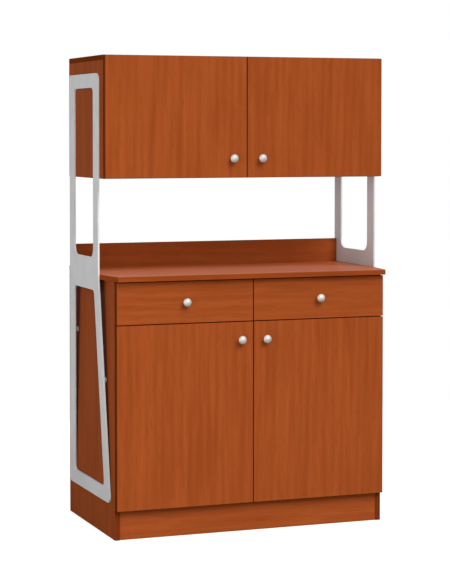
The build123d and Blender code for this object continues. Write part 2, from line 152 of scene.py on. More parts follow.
@dataclass(frozen=True)
class Finish:
    """One surface finish and the record's material slot that it belongs to."""

    name: str
    slot: str

    def material(self) -> bpy.types.Material:
        """Make this finish's material, or find it when it is there already.

        Returns:
            The node material.
        """
        made = bpy.data.materials.get(self.name)
        if made is not None:
            return made
        made = bpy.data.materials.new(self.name)
        made.use_nodes = True
        tree = made.node_tree
        tree.nodes.clear()
        shader = add_node(tree, "ShaderNodeBsdfPrincipled")
        add_node(tree, "ShaderNodeOutputMaterial", {"Surface": shader.outputs["BSDF"]})
        self.shade(tree, shader)
        return made

    def shade(self, tree: bpy.types.NodeTree, shader: bpy.types.Node) -> None:
        """Add this finish's pattern to its shader.

        Args:
            tree: The material's node tree.
            shader: The material's surface shader.
        """
        raise NotImplementedError


@dataclass(frozen=True)
class Decor:
    """Colours of a printed wood figure, and the strength of its gloss."""

    dark: str
    middle: str
    light: str
    pore: str
    shine: float


@dataclass(frozen=True)
class WoodLaminate(Finish):
    """Printed wood-grain laminate pressed on chipboard, with edge bands darkened partly in their own tone and
    partly as painted shade, their grain following the edge.

    The press plate leaves a satin face: a soft highlight, fine pores, and a printed figure of wide bands,
    narrow streaks and faint nested arches.
    """

    decor: Decor
    grain: Grain
    edge_grain: Grain
    figure: int
    # Width, stretch along the grain and detail of the wide bands, the narrow streaks and the pores. Real
    # pores are about 0.3 mm wide. They are drawn coarser so that they show in the render.
    layers: Sequence[Triple] = ((48.0, 9.0, 3.0), (13.0, 22.0, 4.0), (3.0, 16.0, 1.0))
    layer_roughness: float = 0.55
    # Shares of the bands, the streaks and the arches in the figure
    blend: Triple = (0.52, 0.40, 0.08)
    tone_stops: Triple = (0.36, 0.51, 0.66)
    arch_mm: float = 30.0
    arch_wobble: Triple = (5.0, 2.0, 0.6)
    log_place: Triple = (0.05, 0.09, 0.0)
    log_lean: float = math.radians(30)
    log_stretch: float = 0.12
    pore_range: Point = (0.56, 0.72)
    pore_strength: float = 0.5
    pore_depth_mm: float = 0.1
    pore_relief: float = 0.12
    gloss_range: Point = (0.3, 0.7)
    roughness: Point = (0.36, 0.46)
    # Multiply on the edge bands: partly their own darker tone, partly painted shade of the narrow gaps
    # between parts
    band_tint: str = "#bfb5aa"
    # How flat to the board a face lies where its edge band ends, and where its plain face starts
    band_range: Point = (0.5, 0.95)
    end_limit: float = 0.7
    figure_step: Triple = (0.731, 0.417, 1.13)

    @property
    def thin(self) -> str:
        """Axis of the board's thickness."""
        return next(axis.value for axis in Grain if axis not in (self.grain, self.edge_grain))

    def shade(self, tree: bpy.types.NodeTree, shader: bpy.types.Node) -> None:
        """Add the printed figure, the pores, the satin gloss and the edge bands.

        Args:
            tree: The material's node tree.
            shader: The material's surface shader.
        """
        coordinates = add_node(tree, "ShaderNodeTexCoord")
        facing = add_node(tree, "ShaderNodeSeparateXYZ", {"Vector": coordinates.outputs["Normal"]})
        squareness, flatness = (
            add_node(tree, "ShaderNodeMath", {0: facing.outputs[axis]}, operation="ABSOLUTE")
            for axis in (self.grain.value, self.thin)
        )
        is_end = add_node(
            tree, "ShaderNodeMath", {0: squareness.outputs[0], 1: self.end_limit}, operation="GREATER_THAN",
        )
        band, shine = (
            add_node(tree, "ShaderNodeMapRange", {
                "Value": flatness.outputs[0],
                "From Min": self.band_range[0], "From Max": self.band_range[1],
                "To Min": edge, "To Max": face,
            }).outputs[0]
            for edge, face in ((1.0, 0.0), (0.0, self.decor.shine))
        )
        shift = Vector(self.figure_step) * self.figure
        lays = [
            add_node(tree, "ShaderNodeMapping", {
                "Vector": coordinates.outputs["Object"], "Location": shift, "Rotation": grain.turn,
            })
            for grain in (self.grain, self.edge_grain)
        ]
        laid = add_node(
            tree, "ShaderNodeMix",
            {0: is_end.outputs[0], 4: lays[0].outputs[0], 5: lays[1].outputs[0]},
            data_type="VECTOR",
        ).outputs[1]

        patterns = []
        for width_mm, stretch, detail in self.layers:
            pulled = add_node(tree, "ShaderNodeMapping", {"Vector": laid, "Scale": (1.0, 1.0, 1 / stretch)})
            noise = add_node(tree, "ShaderNodeTexNoise", {
                "Vector": pulled.outputs[0], "Scale": per_mm(width_mm),
                "Detail": detail, "Roughness": self.layer_roughness,
            })
            patterns.append(noise.outputs[0])
        bands, streaks, pores = patterns

        # The arches are growth rings of a log that leans a little in the board
        log = add_node(tree, "ShaderNodeMapping", {
            "Vector": laid,
            "Location": self.log_place,
            "Rotation": (self.log_lean, 0.0, 0.0),
            "Scale": (1.0, 1.0, self.log_stretch),
        })
        wobble, detail, detail_scale = self.arch_wobble
        rings = add_node(tree, "ShaderNodeTexWave", {
            "Vector": log.outputs[0],
            "Scale": math.tau / WAVE_PHASE * per_mm(self.arch_mm),
            "Distortion": wobble,
            "Detail": detail,
            "Detail Scale": detail_scale,
        }, wave_type="RINGS", rings_direction="Z")

        whole = 0.0
        for pattern, share in zip((bands, streaks, rings.outputs[1]), self.blend):
            whole = add_node(
                tree, "ShaderNodeMath", {0: pattern, 1: share, 2: whole}, operation="MULTIPLY_ADD",
            ).outputs[0]
        low, middle, high = self.tone_stops
        wood = add_node(
            tree, "ShaderNodeValToRGB", {"Fac": whole},
            stops=((low, self.decor.dark), (high, self.decor.light), (middle, self.decor.middle)),
        )
        pits = add_node(tree, "ShaderNodeMapRange", {
            "Value": pores, "From Min": self.pore_range[0], "From Max": self.pore_range[1],
            "To Min": 0.0, "To Max": self.pore_strength,
        })
        colour = add_node(
            tree, "ShaderNodeMix",
            {0: pits.outputs[0], 6: wood.outputs[0], 7: linear(self.decor.pore)},
            data_type="RGBA",
        )
        # Darken the edge bands: their own tone together with painted shade of the gaps between parts
        banded = add_node(
            tree, "ShaderNodeMix", {0: band, 6: colour.outputs[2], 7: linear(self.band_tint)},
            data_type="RGBA", blend_type="MULTIPLY",
        )
        gloss = add_node(tree, "ShaderNodeMapRange", {
            "Value": streaks, "From Min": self.gloss_range[0], "From Max": self.gloss_range[1],
            "To Min": self.roughness[0], "To Max": self.roughness[1],
        })
        relief = add_node(tree, "ShaderNodeBump", {
            "Strength": self.pore_relief, "Distance": self.pore_depth_mm * MM, "Height": pores,
        }, invert=True)
        tree.links.new(banded.outputs[2], shader.inputs["Base Color"])
        tree.links.new(gloss.outputs[0], shader.inputs["Roughness"])
        tree.links.new(relief.outputs[0], shader.inputs["Normal"])
        tree.links.new(shine, shader.inputs["Specular IOR Level"])


@dataclass(frozen=True)
class CloudedFinish(Finish):
    """A plain finish with soft clouds of tone and a fine surface relief, such as paint, plate or rubber."""

    dark: str
    light: str
    roughness: Point
    metallic: float = 0.0
    cloud_mm: float = 90.0
    relief_mm: float = 2.5
    relief_depth_mm: float = 0.03
    pull: Triple = (1.0, 1.0, 1.0)
    clearness: float = 0.0
    cloud_detail: float = 3.0
    grit_detail: float = 2.0
    cloud_range: Point = (0.35, 0.65)
    grit_range: Point = (0.3, 0.7)
    relief_strength: float = 0.25

    def shade(self, tree: bpy.types.NodeTree, shader: bpy.types.Node) -> None:
        """Add the clouds of tone, the gloss and the relief.

        Args:
            tree: The material's node tree.
            shader: The material's surface shader.
        """
        coordinates = add_node(tree, "ShaderNodeTexCoord")
        pulled = add_node(tree, "ShaderNodeMapping", {
            "Vector": coordinates.outputs["Object"], "Scale": self.pull,
        })
        clouds, grit = (
            add_node(tree, "ShaderNodeTexNoise", {
                "Vector": pulled.outputs[0], "Scale": per_mm(width_mm), "Detail": detail,
            }).outputs[0]
            for width_mm, detail in ((self.cloud_mm, self.cloud_detail), (self.relief_mm, self.grit_detail))
        )
        colour = add_node(
            tree, "ShaderNodeValToRGB", {"Fac": clouds},
            stops=tuple(zip(self.cloud_range, (self.dark, self.light))),
        )
        gloss = add_node(tree, "ShaderNodeMapRange", {
            "Value": grit, "From Min": self.grit_range[0], "From Max": self.grit_range[1],
            "To Min": self.roughness[0], "To Max": self.roughness[1],
        })
        relief = add_node(tree, "ShaderNodeBump", {
            "Strength": self.relief_strength, "Distance": self.relief_depth_mm * MM, "Height": grit,
        })
        tree.links.new(colour.outputs[0], shader.inputs["Base Color"])
        tree.links.new(gloss.outputs[0], shader.inputs["Roughness"])
        tree.links.new(relief.outputs[0], shader.inputs["Normal"])
        shader.inputs["Metallic"].default_value = self.metallic
        shader.inputs["Transmission Weight"].default_value = self.clearness


# Powder coat on steel plate: an even satin grey with the faint orange peel of baked powder
POWDER_COAT = CloudedFinish(
    "powder_coat_grey", "frame_paint", "#c2c3c3", "#cacaca", (0.42, 0.52), relief_mm=3.0,
)
# Nickel plate under matt lacquer: warm white, half metal and half milky film, with a broad highlight
SATIN_NICKEL = CloudedFinish(
    "turned_satin_nickel", "satin_nickel", "#b9b3ad", "#c5c0ba", (0.46, 0.58), metallic=0.4,
    cloud_mm=12.0, relief_mm=1.2, relief_depth_mm=0.01,
)
# Bright nickel plate on stamped steel: smooth, with clouds left by the bath
BRIGHT_NICKEL = CloudedFinish(
    "stamped_bright_nickel", "plated_steel", "#b8bbbe", "#c9cbcc", (0.20, 0.34), metallic=1.0,
    cloud_mm=14.0, relief_mm=2.0, relief_depth_mm=0.01,
)
# Zinc plate on small turned parts: bluish grey, clouded by the barrel
ZINC_PLATE = CloudedFinish(
    "barrel_zinc_plate", "zinc_steel", "#a3a8ab", "#b9bdbf", (0.28, 0.42), metallic=1.0,
    cloud_mm=5.0, relief_mm=1.2, relief_depth_mm=0.01,
)
# Plate on cold-rolled strip: bluish grey, with rolling streaks along the runner
RUNNER_STRIP = CloudedFinish(
    "rolled_plated_strip", "plated_steel", "#9a9fa3", "#b4b8bb", (0.30, 0.48), metallic=1.0,
    cloud_mm=6.0, relief_mm=1.5, relief_depth_mm=0.01, pull=(1.0, 0.05, 1.0),
)
# Cast polyurethane: clear, soft and slightly milky
CLEAR_RUBBER = CloudedFinish(
    "cast_clear_rubber", "clear_rubber", "#e4e6e5", "#eef0ef", (0.18, 0.30), clearness=0.7,
    cloud_mm=5.0, relief_mm=1.0, relief_depth_mm=0.01,
)


# Cherry print under melamine: red-brown and nearly matt
BOARD_CHERRY = Decor("#853d19", "#8d431d", "#954821", "#7c3917", 0.005)
# The same print, painted lighter to stand in for the light falling on the worktop's top, under the harder,
# smoother film of a pressed worktop
WORKTOP_CHERRY_PAINTED_LIGHT = Decor("#a75125", "#b35829", "#be5f2e", "#9d4b21", 0.4)
# Maple under clear sealer, for the drawer boxes and the backs
SEALED_MAPLE = Decor("#c2a679", "#cdb48a", "#d8c29c", "#b39668", 0.2)


def cherry(figure: int, grain: Grain, edge_grain: Grain, decor: Decor = BOARD_CHERRY) -> WoodLaminate:
    """Cherry laminate for one board, with a part of the printed figure of its own.

    Args:
        figure: Number of the board, which picks the part of the figure.
        grain: Axis of the grain on the faces.
        edge_grain: Axis of the grain on the banded ends.
        decor: Its print and gloss.

    Returns:
        The finish.
    """
    return WoodLaminate(f"cherry_laminate_{figure:02d}", "cherry_laminate", decor, grain, edge_grain, figure)


def box_board(figure: int, grain: Grain, edge_grain: Grain) -> WoodLaminate:
    """Pale sealed board of a drawer box or a back.

    Args:
        figure: Number of the board, which picks the part of the figure.
        grain: Axis of the grain on the faces.
        edge_grain: Axis of the grain on the ends.

    Returns:
        The finish.
    """
    return WoodLaminate(
        f"sealed_maple_{figure:02d}", "drawer_box", SEALED_MAPLE, grain, edge_grain, figure,
        roughness=(0.5, 0.6),
    )


def dress(node: str, finish: Finish) -> None:
    """Give a CAD node its finish.

    Args:
        node: Name of the node.
        finish: The finish to wear.
    """
    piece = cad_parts[node]
    material = finish.material()
    if not piece.material_slots:
        piece.data.materials.append(material)
    for slot in piece.material_slots:
        slot.material = material
    LOG.info("dressed %s in %s", node, finish.name)


def round_ring(radius: float, height: float, count: int) -> list[Vector]:
    """A circle of points about the Z axis.

    Args:
        radius: Radius of the circle.
        height: Its Z.
        count: Number of points.

    Returns:
        The points, anticlockwise from the X axis.
    """
    turns = [math.tau * at / count for at in range(count)]
    return [Vector((radius * math.cos(turn), radius * math.sin(turn), height)) for turn in turns]


def corner_turns() -> list[float]:
    """Even turns along a quarter round, with both ends."""
    return [QUARTER * at / (CORNER_COUNT - 1) for at in range(CORNER_COUNT)]


def loft(shape: bmesh.types.BMesh, rings: Sequence[Ring], place: Callable[[Vector], Vector] = Vector) -> None:
    """Skin a row of rings with equal point counts, and close both ends.

    Args:
        shape: Mesh that gets the skin.
        rings: Rings of points, in order along the skin.
        place: Moves a ring's point to its place in the frame.
    """
    loops = [[shape.verts.new(place(point)) for point in ring] for ring in rings]
    for low, high in zip(loops, loops[1:]):
        for at, corner in enumerate(low):
            after = (at + 1) % len(low)
            shape.faces.new((corner, low[after], high[after], high[at]))
    shape.faces.new(loops[0][::-1])
    shape.faces.new(loops[-1])


def to_mesh(name: str, shape: bmesh.types.BMesh) -> bpy.types.Mesh:
    """Turn finished mesh code into a mesh whose faces point outwards.

    Args:
        name: Name of the mesh.
        shape: The mesh code's result, which is freed.

    Returns:
        The mesh, smooth except at sharp edges.
    """
    bmesh.ops.recalc_face_normals(shape, faces=shape.faces)
    mesh = bpy.data.meshes.new(name)
    shape.to_mesh(mesh)
    shape.free()
    mesh.shade_smooth()
    mesh.set_sharp_from_angle(angle=SMOOTH_LIMIT)
    return mesh


def set_piece(
    mesh: bpy.types.Mesh, finish: Finish, body: str, stands_for: Sequence[str] = (),
) -> bpy.types.Object:
    """Put a finished mesh in the scene, on the body that carries it.

    Args:
        mesh: Mesh of the piece, which gives it its name.
        finish: Its finish.
        body: Body that it moves with.
        stands_for: CAD nodes that it replaces.

    Returns:
        The piece.
    """
    piece = bpy.data.objects.new(mesh.name, mesh)
    bpy.context.scene.collection.objects.link(piece)
    if not mesh.materials:
        mesh.materials.append(finish.material())
    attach(piece, body)
    if stands_for:
        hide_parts(*stands_for)
    LOG.info("built %s on %s, %d faces", mesh.name, body, len(mesh.polygons))
    return piece


def pan_head(radius: float, height: float) -> bmesh.types.BMesh:
    """A pan-head screw with a cross recess, standing on Z = 0 and pointing along +Z.

    Args:
        radius: Radius of the head.
        height: Height of the head.

    Returns:
        The mesh code's result.
    """
    profile = ((1.0, -0.05), (1.0, 0.3), (0.85, 0.75), (0.6, 1.0))
    rings = [round_ring(radius * across, height * up, ROUND_COUNT) for across, up in profile]
    # The recess's own radii: an arm, its flank, the hollow between two arms, and the next flank
    arms = (0.48, 0.2, 0.15, 0.2)
    for shrink, up in ((1.0, 1.0), (0.8, 0.3)):
        circle = round_ring(radius * shrink, height * up, ROUND_COUNT)
        reaches = [arms[at % len(arms)] for at in range(ROUND_COUNT)]
        rings.append([
            Vector((point.x * reach, point.y * reach, point.z)) for point, reach in zip(circle, reaches)
        ])
    shape = bmesh.new()
    loft(shape, rings)
    return shape


def pin_sleeve(radius: float, height: float) -> bmesh.types.BMesh:
    """A flanged sleeve in a shelf-pin hole, standing on Z = 0 and pointing along +Z.

    Args:
        radius: Radius of the flange.
        height: Height of the flange.

    Returns:
        The mesh code's result.
    """
    profile = ((1.0, -0.2), (1.0, 0.5), (0.9, 1.0), (0.72, 1.0), (0.66, 0.1))
    shape = bmesh.new()
    loft(shape, [round_ring(radius * across, height * up, ROUND_COUNT) for across, up in profile])
    return shape


@dataclass
class FittingRows:
    """Straight rows of one small fitting, set out by Geometry Nodes and kept as a plain mesh."""

    name: str
    body: str
    finish: Finish
    head: Callable[[float, float], bmesh.types.BMesh]
    radius_mm: float
    height_mm: float
    starts: Sequence[Vector]
    turn: Triple
    count: int = 1
    step: Triple = (0.0, 0.0, 0.0)

    TREE_NAME = "fitting_rows"

    @classmethod
    def tree(cls) -> bpy.types.NodeTree:
        """Make the tree that lays a row of fittings from every point, or find it when it is there already.

        Returns:
            The Geometry Nodes tree.
        """
        made = bpy.data.node_groups.get(cls.TREE_NAME)
        if made is not None:
            return made
        made = bpy.data.node_groups.new(cls.TREE_NAME, "GeometryNodeTree")
        for name, kind in (
            ("Starts", "Geometry"), ("Count", "Int"), ("Step", "Vector"), ("Fitting", "Object"),
            ("Turn", "Vector"), ("Finish", "Material"),
        ):
            made.interface.new_socket(name, in_out="INPUT", socket_type=f"NodeSocket{kind}")
        made.interface.new_socket("Fittings", in_out="OUTPUT", socket_type="NodeSocketGeometry")
        given = add_node(made, "NodeGroupInput").outputs
        line = add_node(
            made, "GeometryNodeMeshLine", {"Count": given["Count"], "Offset": given["Step"]}, mode="OFFSET",
        )
        rows = add_node(made, "GeometryNodeInstanceOnPoints", {
            "Points": given["Starts"], "Instance": line.outputs[0],
        })
        spots = add_node(made, "GeometryNodeRealizeInstances", {0: rows.outputs[0]})
        fitting = add_node(made, "GeometryNodeObjectInfo", {"Object": given["Fitting"]})
        turn = add_node(made, "FunctionNodeEulerToRotation", {0: given["Turn"]})
        placed = add_node(made, "GeometryNodeInstanceOnPoints", {
            "Points": spots.outputs[0], "Instance": fitting.outputs["Geometry"], "Rotation": turn.outputs[0],
        })
        whole = add_node(made, "GeometryNodeRealizeInstances", {0: placed.outputs[0]})
        finished = add_node(made, "GeometryNodeSetMaterial", {
            0: whole.outputs[0], "Material": given["Finish"],
        })
        add_node(made, "NodeGroupOutput", {0: finished.outputs[0]})
        return made

    def build(self) -> bpy.types.Object:
        """Set the rows out and keep them as one piece.

        Returns:
            The piece.
        """
        fitting = bpy.data.objects.new(
            f"{self.name}_pattern",
            to_mesh(f"{self.name}_pattern", self.head(self.radius_mm * MM, self.height_mm * MM)),
        )
        points = bpy.data.meshes.new(f"{self.name}_starts")
        points.from_pydata([tuple(start) for start in self.starts], [], [])
        carrier = bpy.data.objects.new(f"{self.name}_starts", points)
        for helper in (fitting, carrier):
            bpy.context.scene.collection.objects.link(helper)
        rows = carrier.modifiers.new("rows", "NODES")
        rows.node_group = self.tree()
        values = {
            "Count": self.count, "Step": self.step, "Fitting": fitting,
            "Turn": self.turn, "Finish": self.finish.material(),
        }
        for item in rows.node_group.interface.items_tree:
            if item.name in values:
                rows[item.identifier] = values[item.name]
        bpy.context.view_layer.update()
        view = bpy.context.evaluated_depsgraph_get()
        mesh = bpy.data.meshes.new_from_object(carrier.evaluated_get(view), depsgraph=view)
        mesh.name = self.name
        carrier.modifiers.remove(rows)
        for helper in (fitting, carrier):
            used = helper.data
            bpy.data.objects.remove(helper)
            bpy.data.meshes.remove(used)
        return set_piece(mesh, self.finish, self.body)


@dataclass
class Carcass:
    """One cabinet box: its boards, the rows of pin sleeves in its sides and the pins in its back."""

    name: str
    boards: Mapping[str, tuple[Grain, Grain]]
    first_figure: int
    shelf: str
    sleeve_rows: Mapping[int, int]
    sleeve_pitch_mm: float = 32.0
    sleeve_radius_mm: float = 3.8
    sleeve_height_mm: float = 0.4
    sleeve_setback_mm: float = 60.0
    pin_drop_mm: float = 2.5
    back_pin_pitch_mm: float = 110.0
    back_pin_inset_mm: float = 9.0
    back_pin_radius_mm: float = 2.2
    back_pin_height_mm: float = 0.12
    # Depth of the pin's seat below the back's face, a little more than its height
    back_pin_sink_mm: float = 0.14
    shelf_play_mm: float = 1.0
    decors: Mapping[str, Decor] = field(default_factory=dict)

    def build(self) -> None:
        """Build the spare pin sleeves and the back's panel pins."""
        shelf_low, shelf_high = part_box(self.shelf)
        pitch = self.sleeve_pitch_mm * MM
        setback = self.sleeve_setback_mm * MM
        for side in Side:
            low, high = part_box(f"{self.name}_{side.word}_side")
            inner = high.x if side is Side.LEFT else low.x
            for first, count in self.sleeve_rows.items():
                level = shelf_low.z - self.pin_drop_mm * MM + first * pitch
                starts = [
                    Vector((inner, y, level))
                    for y in (shelf_low.y + setback, shelf_high.y + self.shelf_play_mm * MM - setback)
                ]
                FittingRows(
                    f"{self.name}_{side.word}_pin_sleeves_{'above' if first > 0 else 'below'}", "cabinet",
                    BRIGHT_NICKEL, pin_sleeve, self.sleeve_radius_mm, self.sleeve_height_mm, starts,
                    (0.0, -side.value * QUARTER, 0.0), count, (0.0, 0.0, pitch),
                ).build()
        self.build_back_pins()

    def build_back_pins(self) -> None:
        """Build the panel pins along the top and bottom of the back."""
        low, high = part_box(f"{self.name}_back")
        inset = self.back_pin_inset_mm * MM
        count = int((high.x - low.x - 2 * inset) / (self.back_pin_pitch_mm * MM)) + 1
        pitch = (high.x - low.x - 2 * inset) / (count - 1)
        # The heads are driven in just below flush, so that nothing stands out of the back
        seat = high.y - self.back_pin_sink_mm * MM
        sunk = [Vector((low.x + inset, seat, z)) for z in (low.z + inset, high.z - inset)]
        FittingRows(
            f"{self.name}_back_pins", "cabinet", BRIGHT_NICKEL, pan_head,
            self.back_pin_radius_mm, self.back_pin_height_mm, sunk,
            (-QUARTER, 0.0, 0.0), count, (pitch, 0.0, 0.0),
        ).build()

    def dress(self) -> None:
        """Give each board its own cherry laminate, and the back a sealed board."""
        for at, (board, (grain, edge_grain)) in enumerate(self.boards.items()):
            decor = self.decors.get(board, BOARD_CHERRY)
            dress(board, cherry(self.first_figure + at, grain, edge_grain, decor))
        last_figure = self.first_figure + len(self.boards)
        dress(f"{self.name}_back", box_board(last_figure, Grain.UPRIGHT, Grain.ACROSS))


@dataclass
class HingedDoor:
    """One door with its hinge cups and its knob."""

    unit: str
    side: Side
    figure: int
    cup_radius_mm: float = 17.4
    cup_depth_mm: float = 11.9
    bowl_radius_mm: float = 15.2
    bowl_depth_mm: float = 10.4
    flange_mm: float = 1.0
    wing_half_mm: Point = (10.0, 30.0)
    wing_corner_mm: float = 5.0
    wing_draw: Point = (0.985, 0.99)
    wing_edge_mm: float = 0.3
    foot_edge_mm: float = 1.5
    # The skin starts this far off the door, so that their faces don't coincide
    seat_gap_mm: float = 0.02
    mouth_edge_mm: float = 0.6
    bowl_edge_mm: float = 1.2
    bowl_draw_mm: Point = (0.4, 1.8)
    shoulder_count: int = 8
    screw_reach_mm: float = 24.0
    screw_mm: Point = (3.4, 1.6)

    @property
    def node(self) -> str:
        """Name of the door's node."""
        return f"{self.unit}_{self.side.word}_door"

    @property
    def body(self) -> str:
        """Name of the door's body."""
        return f"{self.unit}_door_{self.side.word}"

    def cups(self) -> list[Vector]:
        """Places of the two cups on the door's back face.

        Returns:
            The middle of each cup's mouth.
        """
        low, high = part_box(f"{self.node}_hinge_cups")
        half = self.wing_half_mm[1] * MM
        back = high.y - self.flange_mm * MM
        return [Vector(((low.x + high.x) / 2, back, z)) for z in (low.z + half, high.z - half)]

    def flange_outline(self) -> list[Point]:
        """Outline of a cup's flange: a round rim with an upright wing above and below.

        Returns:
            Points in millimetres about the cup's middle, anticlockwise from the X axis.
        """
        half_x, half_z = self.wing_half_mm
        corner = self.wing_corner_mm
        shoulder = math.asin(math.sqrt(self.cup_radius_mm ** 2 - half_x ** 2) / self.cup_radius_mm)
        quarter = [
            (self.cup_radius_mm * math.cos(turn), self.cup_radius_mm * math.sin(turn))
            for turn in (shoulder * at / (self.shoulder_count - 1) for at in range(self.shoulder_count))
        ]
        quarter += [
            (half_x - corner + corner * math.cos(turn), half_z - corner + corner * math.sin(turn))
            for turn in corner_turns()
        ]
        upper = quarter + [(-x, z) for x, z in reversed(quarter)]
        return upper + [(-x, -z) for x, z in upper[1:-1]]

    def build(self) -> None:
        """Build the stamped hinge cups and their screws."""
        outline = self.flange_outline()
        angles = [math.atan2(z, x) for x, z in outline]

        def circle(radius_mm: float, height_mm: float) -> list[Vector]:
            """Points on a circle under the outline's own points."""
            return [
                Vector((radius_mm * math.cos(turn), height_mm, radius_mm * math.sin(turn))) for turn in angles
            ]

        flange = self.flange_mm
        draw_x, draw_z = self.wing_draw
        wall_draw, floor_draw = self.bowl_draw_mm
        rings = [
            circle(self.cup_radius_mm - self.foot_edge_mm, -self.cup_depth_mm),
            circle(self.cup_radius_mm, -self.cup_depth_mm + self.foot_edge_mm),
            circle(self.cup_radius_mm, self.seat_gap_mm),
            [Vector((x, self.seat_gap_mm, z)) for x, z in outline],
            [Vector((x, flange - self.wing_edge_mm, z)) for x, z in outline],
            [Vector((x * draw_x, flange, z * draw_z)) for x, z in outline],
            circle(self.bowl_radius_mm + self.mouth_edge_mm, flange),
            circle(self.bowl_radius_mm, flange - self.mouth_edge_mm),
            circle(self.bowl_radius_mm - wall_draw, self.bowl_edge_mm - self.bowl_depth_mm),
            circle(self.bowl_radius_mm - floor_draw, -self.bowl_depth_mm),
        ]
        shape = bmesh.new()
        for cup in self.cups():
            loft(shape, rings, lambda point: cup + point * MM)
        set_piece(
            to_mesh(f"{self.node}_stamped_cups", shape), BRIGHT_NICKEL, self.body,
            [f"{self.node}_hinge_cups"],
        )
        reach = Vector((0.0, 0.0, self.screw_reach_mm * MM))
        proud = Vector((0.0, flange * MM, 0.0))
        FittingRows(
            f"{self.node}_cup_screws", self.body, BRIGHT_NICKEL, pan_head, *self.screw_mm,
            [cup + proud - reach for cup in self.cups()], (-QUARTER, 0.0, 0.0), 2, tuple(reach * 2),
        ).build()

    def dress(self) -> None:
        """Dress the door, its knob and the knob's screw."""
        dress(self.node, cherry(self.figure, Grain.UPRIGHT, Grain.ACROSS))
        dress(f"{self.node}_knob", SATIN_NICKEL)
        dress(f"{self.node}_knob_screw", ZINC_PLATE)


@dataclass
class HingeArms:
    """The hinge plates on the side boards and the arms that clip on them."""

    doors: Sequence[HingedDoor]
    plate_mm: float = 2.4
    plate_length_mm: float = 34.0
    plate_height_mm: float = 44.0
    plate_setback_mm: float = 18.0
    plate_corner_mm: float = 6.0
    arm_gap_mm: float = 0.5
    arm_half_mm: float = 6.4
    arm_crown_mm: Point = (12.8, 9.6)
    plate_edge_mm: float = 0.5
    # Each station of an arm: share of its length, distance from there, drop of its crown, share of its width
    arm_stations: Sequence[tuple[float, float, float, float]] = (
        (0.0, 0.0, 1.5, 0.85), (0.0, 1.2, 0.0, 1.0), (0.44, 0.0, 0.0, 1.0),
        (0.52, 0.0, 0.0, 0.92), (1.0, -1.5, 0.0, 0.88), (1.0, 0.0, 1.5, 0.75),
    )
    high_stations: int = 3
    arm_round_mm: float = 3.0
    screw_reach_mm: float = 16.0
    screw_mm: Point = (3.4, 1.8)
    adjuster_mm: Point = (2.9, 1.2)
    adjuster_place_mm: float = -4.0
    adjuster_pitch_mm: float = 12.0

    def plate_rings(self) -> list[list[Vector]]:
        """Rings of one plate, in millimetres about its middle.

        Returns:
            The rings, from the side board outwards along X.
        """
        half_y = self.plate_length_mm / 2
        half_z = self.plate_height_mm / 2
        rings = []
        edge = self.plate_edge_mm
        for height, shrink in ((0.0, 0.0), (self.plate_mm - edge, 0.0), (self.plate_mm, edge)):
            corner = self.plate_corner_mm - shrink
            rings.append([
                Vector((
                    height,
                    sign_y * (half_y - self.plate_corner_mm) + corner * math.cos(first + turn),
                    sign_z * (half_z - self.plate_corner_mm) + corner * math.sin(first + turn),
                ))
                for first, sign_y, sign_z in (
                    (0, 1, 1), (QUARTER, -1, 1), (2 * QUARTER, -1, -1), (3 * QUARTER, 1, -1),
                )
                for turn in corner_turns()
            ])
        return rings

    def arm_rings(self, length_mm: float) -> list[list[Vector]]:
        """Rings of one arm, in millimetres from the side board and the arm's front end.

        Args:
            length_mm: Length of the arm.

        Returns:
            The rings, from front to back along Y.
        """
        high, low = self.arm_crown_mm
        bend = self.arm_round_mm
        rings = []
        for at, (share, extra, drop, width) in enumerate(self.arm_stations):
            crown = (high if at < self.high_stations else low) - drop
            half = self.arm_half_mm * width
            right = [(self.plate_mm, half)] + [
                (crown - bend + bend * math.sin(turn), half - bend + bend * math.cos(turn))
                for turn in corner_turns()
            ]
            section = right + [(x, -z) for x, z in reversed(right)]
            rings.append([Vector((x, share * length_mm + extra, z)) for x, z in section])
        return rings

    def build(self) -> None:
        """Build the plates and arms, and the screws in them."""
        shape = bmesh.new()
        for side in Side:
            plate_starts = []
            adjuster_starts = []
            for door in (door for door in self.doors if door.side is side):
                low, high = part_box(f"{door.unit}_{side.word}_side")
                inner = high.x if side is Side.LEFT else low.x
                for cup in door.cups():
                    front = low.y + self.plate_setback_mm * MM
                    rear = front + self.plate_length_mm * MM
                    arm_front = cup.y + (door.flange_mm + self.arm_gap_mm) * MM

                    def place(point: Vector, y: float, level: float = cup.z, seat: float = inner) -> Vector:
                        """Move a point from millimetres off the side board to its place."""
                        across = seat - side.value * point.x * MM
                        return Vector((across, y + point.y * MM, level + point.z * MM))

                    middle = (front + rear) / 2
                    loft(shape, self.plate_rings(), lambda point: place(point, middle))
                    arm = self.arm_rings((rear - arm_front) / MM)
                    loft(shape, arm, lambda point: place(point, arm_front))
                    plate_starts.append(place(Vector((self.plate_mm, 0.0, -self.screw_reach_mm)), middle))
                    adjuster = Vector((self.arm_crown_mm[1], self.adjuster_place_mm, 0.0))
                    adjuster_starts.append(place(adjuster, middle))
            outward = (0.0, -side.value * QUARTER, 0.0)
            FittingRows(
                f"{side.word}_hinge_plate_screws", "cabinet", BRIGHT_NICKEL, pan_head, *self.screw_mm,
                plate_starts, outward, 2, (0.0, 0.0, 2 * self.screw_reach_mm * MM),
            ).build()
            FittingRows(
                f"{side.word}_hinge_adjusters", "cabinet", BRIGHT_NICKEL, pan_head, *self.adjuster_mm,
                adjuster_starts, outward, 2, (0.0, self.adjuster_pitch_mm * MM, 0.0),
            ).build()
        set_piece(to_mesh("clip_hinge_arms", shape), BRIGHT_NICKEL, "cabinet", ["hinge_arms"])


